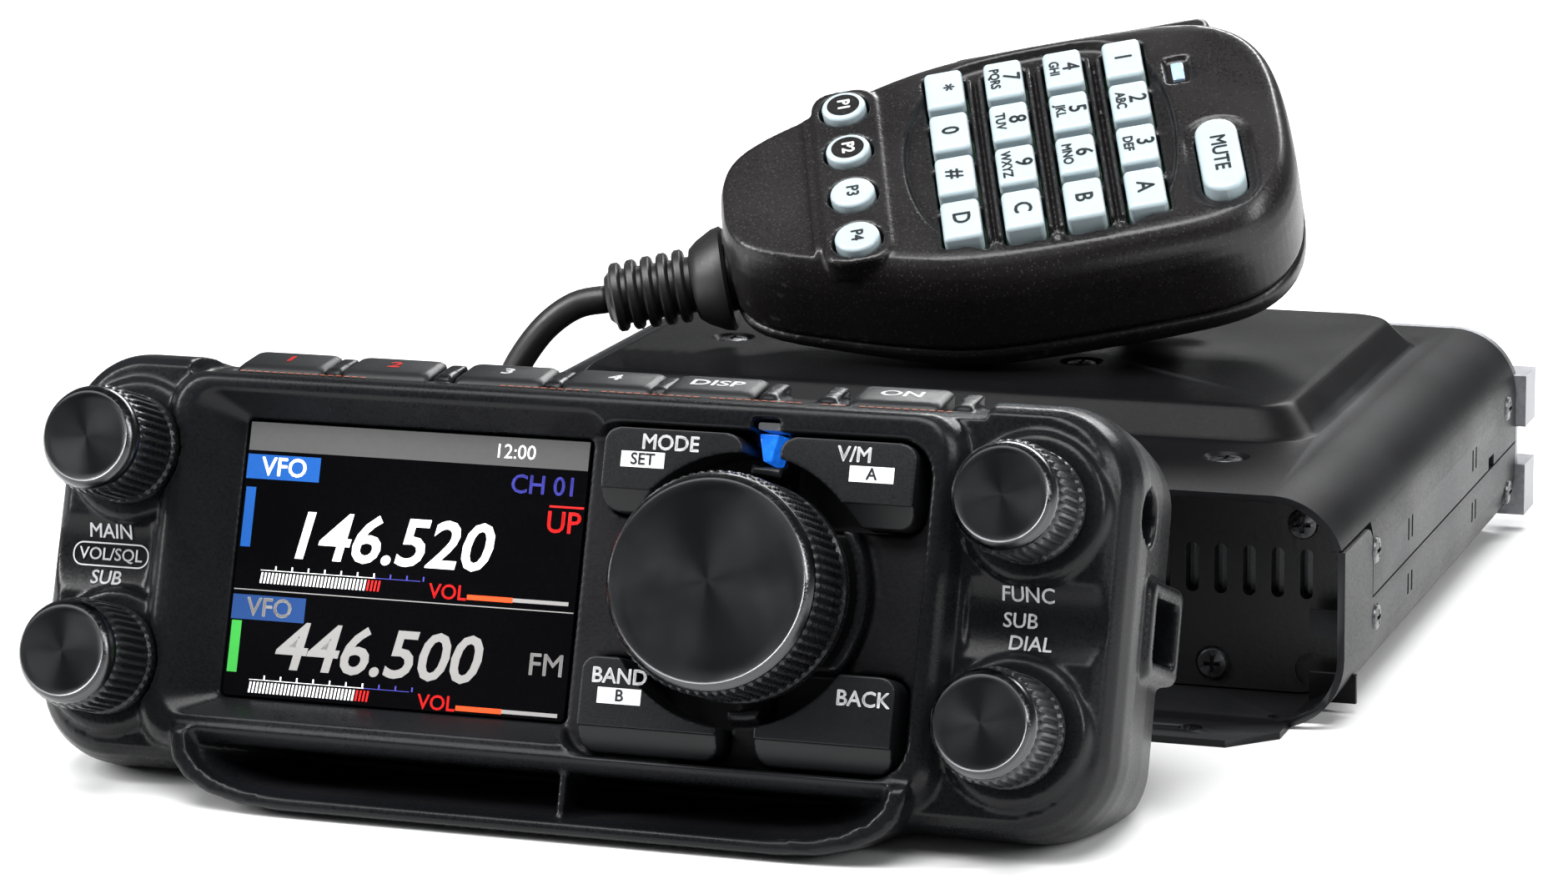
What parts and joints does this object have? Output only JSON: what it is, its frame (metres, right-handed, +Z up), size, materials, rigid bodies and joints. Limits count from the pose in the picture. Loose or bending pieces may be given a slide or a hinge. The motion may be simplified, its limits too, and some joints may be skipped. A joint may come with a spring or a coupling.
{
  "type": "mobile radio transceiver",
  "caption": "Vehicle two-way radio: finned metal body, tilting control panel with screen, dial and knobs, and a keypad hand microphone on a curly cord.",
  "frame": {"origin": "centre of the flat underside of the radio body, on the surface that it stands on", "axes": "+Z up, -Y out of the radio's front towards the control panel and its user, +X to the user's right"},
  "size_m": [0.1633, 0.2199, 0.0824],
  "materials": {
    "cast_aluminium": "bare die-cast, matt",
    "black_cover": "satin black powder coat",
    "circuit_board": "green solder mask",
    "fan_plastic": "matt black",
    "nickel_plate": "nickel plated, slightly dull",
    "speaker_frame": "black frame and paper cone",
    "cord_rubber": "dull black",
    "plug_plastic": "black moulded",
    "panel_plastic": "fine-grained charcoal",
    "display_glass": "clear cover over a lit display",
    "blue_light_guide": "clear blue",
    "mic_plastic": "textured brownish black",
    "anodised_knob": "black anodised, spun face",
    "button_rubber": "dark grey, white printing",
    "key_rubber": "pale blue translucent"
  },
  "bodies": {
    "radio": {"chassis": "cast_aluminium", "top_cover": "black_cover", "bottom_cover": "black_cover", "main_board": "circuit_board", "fan_frame": "fan_plastic", "antenna_connector": "nickel_plate", "body_speaker": "speaker_frame", "tilt_bracket": "black_cover", "mic_cord_lead": "cord_rubber", "mic_cord_curl": "cord_rubber", "mic_cord_tail": "cord_rubber", "mic_plug": "plug_plastic"},
    "fan": {"fan_rotor": "fan_plastic"},
    "panel": {"panel_bezel": "panel_plastic", "panel_back": "panel_plastic", "panel_board": "circuit_board", "display_module": "display_glass", "front_speaker": "speaker_frame", "dial_light_guide": "blue_light_guide"},
    "microphone": {"mic_front_shell": "mic_plastic", "mic_back_shell": "mic_plastic", "mic_boot": "cord_rubber", "mic_board": "circuit_board"},
    "talk": {"talk_bar": "mic_plastic"},
    "b_knob_upper_left": {"knob_upper_left": "anodised_knob"},
    "b_knob_lower_left": {"knob_lower_left": "anodised_knob"},
    "b_knob_upper_right": {"knob_upper_right": "anodised_knob"},
    "b_knob_lower_right": {"knob_lower_right": "anodised_knob"},
    "b_main_dial": {"main_dial": "anodised_knob"},
    "b_button_upper_left": {"button_upper_left": "button_rubber"},
    "b_button_upper_right": {"button_upper_right": "button_rubber"},
    "b_button_lower_left": {"button_lower_left": "button_rubber"},
    "b_button_lower_right": {"button_lower_right": "button_rubber"},
    "b_top_button_1": {"top_button_1": "button_rubber"},
    "b_top_button_2": {"top_button_2": "button_rubber"},
    "b_top_button_3": {"top_button_3": "button_rubber"},
    "b_top_button_4": {"top_button_4": "button_rubber"},
    "b_top_button_5": {"top_button_5": "button_rubber"},
    "b_top_button_6": {"top_button_6": "button_rubber"},
    "b_key_1": {"key_1": "key_rubber"},
    "b_key_2": {"key_2": "key_rubber"},
    "b_key_3": {"key_3": "key_rubber"},
    "b_key_a": {"key_a": "key_rubber"},
    "b_key_4": {"key_4": "key_rubber"},
    "b_key_5": {"key_5": "key_rubber"},
    "b_key_6": {"key_6": "key_rubber"},
    "b_key_b": {"key_b": "key_rubber"},
    "b_key_7": {"key_7": "key_rubber"},
    "b_key_8": {"key_8": "key_rubber"},
    "b_key_9": {"key_9": "key_rubber"},
    "b_key_c": {"key_c": "key_rubber"},
    "b_key_star": {"key_star": "key_rubber"},
    "b_key_0": {"key_0": "key_rubber"},
    "b_key_hash": {"key_hash": "key_rubber"},
    "b_key_d": {"key_d": "key_rubber"},
    "b_key_p1": {"key_p1": "key_rubber"},
    "b_key_p2": {"key_p2": "key_rubber"},
    "b_key_p3": {"key_p3": "key_rubber"},
    "b_key_p4": {"key_p4": "key_rubber"},
    "b_key_mute": {"key_mute": "key_rubber"}
  },
  "joints": [
    {"name": "panel_tilt", "type": "hinge", "parent": "radio", "child": "panel", "pos_m": [-0.01793, -0.088, 0.012], "axis": [-1, 0, 0], "range_deg": [0, 25]},
    {"name": "fan_spin", "type": "hinge", "parent": "radio", "child": "fan", "pos_m": [0, 0.0535, 0.016], "axis": [0, 1, 0], "continuous": true},
    {"name": "mic_lift", "type": "slide", "parent": "radio", "child": "microphone", "axis": [0, 0, 1], "range_m": [0, 0.1]},
    {"name": "knob_upper_left_turn", "type": "hinge", "parent": "panel", "child": "b_knob_upper_left", "pos_m": [-0.07903, -0.1211, 0.04374], "axis": [0, -0.9421, 0.3353], "continuous": true},
    {"name": "knob_lower_left_turn", "type": "hinge", "parent": "panel", "child": "b_knob_lower_left", "pos_m": [-0.07903, -0.13036, 0.01774], "axis": [0, -0.9421, 0.3353], "continuous": true},
    {"name": "knob_upper_right_turn", "type": "hinge", "parent": "panel", "child": "b_knob_upper_right", "pos_m": [0.04317, -0.1211, 0.04374], "axis": [0, -0.9421, 0.3353], "continuous": true},
    {"name": "knob_lower_right_turn", "type": "hinge", "parent": "panel", "child": "b_knob_lower_right", "pos_m": [0.04317, -0.13036, 0.01774], "axis": [0, -0.9421, 0.3353], "continuous": true},
    {"name": "main_dial_turn", "type": "hinge", "parent": "panel", "child": "b_main_dial", "pos_m": [0.00727, -0.12546, 0.03149], "axis": [0, -0.9421, 0.3353], "continuous": true},
    {"name": "button_upper_left_press", "type": "slide", "parent": "panel", "child": "b_button_upper_left", "axis": [0, 0.9421, -0.3353], "range_m": [0, 0.0008], "stiffness_N_per_m": 500, "springref_m": -0.0006},
    {"name": "button_upper_right_press", "type": "slide", "parent": "panel", "child": "b_button_upper_right", "axis": [0, 0.9421, -0.3353], "range_m": [0, 0.0008], "stiffness_N_per_m": 500, "springref_m": -0.0006},
    {"name": "button_lower_left_press", "type": "slide", "parent": "panel", "child": "b_button_lower_left", "axis": [0, 0.9421, -0.3353], "range_m": [0, 0.0008], "stiffness_N_per_m": 500, "springref_m": -0.0006},
    {"name": "button_lower_right_press", "type": "slide", "parent": "panel", "child": "b_button_lower_right", "axis": [0, 0.9421, -0.3353], "range_m": [0, 0.0008], "stiffness_N_per_m": 500, "springref_m": -0.0006},
    {"name": "top_button_1_press", "type": "slide", "parent": "panel", "child": "b_top_button_1", "axis": [0, -0.3353, -0.9421], "range_m": [0, 0.0008], "stiffness_N_per_m": 500, "springref_m": -0.0006},
    {"name": "top_button_2_press", "type": "slide", "parent": "panel", "child": "b_top_button_2", "axis": [0, -0.3353, -0.9421], "range_m": [0, 0.0008], "stiffness_N_per_m": 500, "springref_m": -0.0006},
    {"name": "top_button_3_press", "type": "slide", "parent": "panel", "child": "b_top_button_3", "axis": [0, -0.3353, -0.9421], "range_m": [0, 0.0008], "stiffness_N_per_m": 500, "springref_m": -0.0006},
    {"name": "top_button_4_press", "type": "slide", "parent": "panel", "child": "b_top_button_4", "axis": [0, -0.3353, -0.9421], "range_m": [0, 0.0008], "stiffness_N_per_m": 500, "springref_m": -0.0006},
    {"name": "top_button_5_press", "type": "slide", "parent": "panel", "child": "b_top_button_5", "axis": [0, -0.3353, -0.9421], "range_m": [0, 0.0008], "stiffness_N_per_m": 500, "springref_m": -0.0006},
    {"name": "top_button_6_press", "type": "slide", "parent": "panel", "child": "b_top_button_6", "axis": [0, -0.3353, -0.9421], "range_m": [0, 0.0008], "stiffness_N_per_m": 500, "springref_m": -0.0006},
    {"name": "key_1_press", "type": "slide", "parent": "microphone", "child": "b_key_1", "axis": [-0.0048, 0.5088, -0.8609], "range_m": [0, 0.0008], "stiffness_N_per_m": 400, "springref_m": -0.0006},
    {"name": "key_2_press", "type": "slide", "parent": "microphone", "child": "b_key_2", "axis": [-0.0048, 0.5088, -0.8609], "range_m": [0, 0.0008], "stiffness_N_per_m": 400, "springref_m": -0.0006},
    {"name": "key_3_press", "type": "slide", "parent": "microphone", "child": "b_key_3", "axis": [-0.0048, 0.5088, -0.8609], "range_m": [0, 0.0008], "stiffness_N_per_m": 400, "springref_m": -0.0006},
    {"name": "key_a_press", "type": "slide", "parent": "microphone", "child": "b_key_a", "axis": [-0.0048, 0.5088, -0.8609], "range_m": [0, 0.0008], "stiffness_N_per_m": 400, "springref_m": -0.0006},
    {"name": "key_4_press", "type": "slide", "parent": "microphone", "child": "b_key_4", "axis": [-0.0048, 0.5088, -0.8609], "range_m": [0, 0.0008], "stiffness_N_per_m": 400, "springref_m": -0.0006},
    {"name": "key_5_press", "type": "slide", "parent": "microphone", "child": "b_key_5", "axis": [-0.0048, 0.5088, -0.8609], "range_m": [0, 0.0008], "stiffness_N_per_m": 400, "springref_m": -0.0006},
    {"name": "key_6_press", "type": "slide", "parent": "microphone", "child": "b_key_6", "axis": [-0.0048, 0.5088, -0.8609], "range_m": [0, 0.0008], "stiffness_N_per_m": 400, "springref_m": -0.0006},
    {"name": "key_b_press", "type": "slide", "parent": "microphone", "child": "b_key_b", "axis": [-0.0048, 0.5088, -0.8609], "range_m": [0, 0.0008], "stiffness_N_per_m": 400, "springref_m": -0.0006},
    {"name": "key_7_press", "type": "slide", "parent": "microphone", "child": "b_key_7", "axis": [-0.0048, 0.5088, -0.8609], "range_m": [0, 0.0008], "stiffness_N_per_m": 400, "springref_m": -0.0006},
    {"name": "key_8_press", "type": "slide", "parent": "microphone", "child": "b_key_8", "axis": [-0.0048, 0.5088, -0.8609], "range_m": [0, 0.0008], "stiffness_N_per_m": 400, "springref_m": -0.0006},
    {"name": "key_9_press", "type": "slide", "parent": "microphone", "child": "b_key_9", "axis": [-0.0048, 0.5088, -0.8609], "range_m": [0, 0.0008], "stiffness_N_per_m": 400, "springref_m": -0.0006},
    {"name": "key_c_press", "type": "slide", "parent": "microphone", "child": "b_key_c", "axis": [-0.0048, 0.5088, -0.8609], "range_m": [0, 0.0008], "stiffness_N_per_m": 400, "springref_m": -0.0006},
    {"name": "key_star_press", "type": "slide", "parent": "microphone", "child": "b_key_star", "axis": [-0.0048, 0.5088, -0.8609], "range_m": [0, 0.0008], "stiffness_N_per_m": 400, "springref_m": -0.0006},
    {"name": "key_0_press", "type": "slide", "parent": "microphone", "child": "b_key_0", "axis": [-0.0048, 0.5088, -0.8609], "range_m": [0, 0.0008], "stiffness_N_per_m": 400, "springref_m": -0.0006},
    {"name": "key_hash_press", "type": "slide", "parent": "microphone", "child": "b_key_hash", "axis": [-0.0048, 0.5088, -0.8609], "range_m": [0, 0.0008], "stiffness_N_per_m": 400, "springref_m": -0.0006},
    {"name": "key_d_press", "type": "slide", "parent": "microphone", "child": "b_key_d", "axis": [-0.0048, 0.5088, -0.8609], "range_m": [0, 0.0008], "stiffness_N_per_m": 400, "springref_m": -0.0006},
    {"name": "key_p1_press", "type": "slide", "parent": "microphone", "child": "b_key_p1", "axis": [-0.0048, 0.5088, -0.8609], "range_m": [0, 0.0008], "stiffness_N_per_m": 400, "springref_m": -0.0006},
    {"name": "key_p2_press", "type": "slide", "parent": "microphone", "child": "b_key_p2", "axis": [-0.0048, 0.5088, -0.8609], "range_m": [0, 0.0008], "stiffness_N_per_m": 400, "springref_m": -0.0006},
    {"name": "key_p3_press", "type": "slide", "parent": "microphone", "child": "b_key_p3", "axis": [-0.0048, 0.5088, -0.8609], "range_m": [0, 0.0008], "stiffness_N_per_m": 400, "springref_m": -0.0006},
    {"name": "key_p4_press", "type": "slide", "parent": "microphone", "child": "b_key_p4", "axis": [-0.0048, 0.5088, -0.8609], "range_m": [0, 0.0008], "stiffness_N_per_m": 400, "springref_m": -0.0006},
    {"name": "key_mute_press", "type": "slide", "parent": "microphone", "child": "b_key_mute", "axis": [-0.0048, 0.5088, -0.8609], "range_m": [0, 0.0008], "stiffness_N_per_m": 400, "springref_m": -0.0006},
    {"name": "talk_press", "type": "hinge", "parent": "microphone", "child": "talk", "pos_m": [-0.00877, 0.02052, 0.07293], "axis": [-0.0048, 0.5088, -0.8609], "range_deg": [0, 2.5], "stiffness_Nm_per_rad": 0.6, "springref_deg": -2.86}
  ]
}
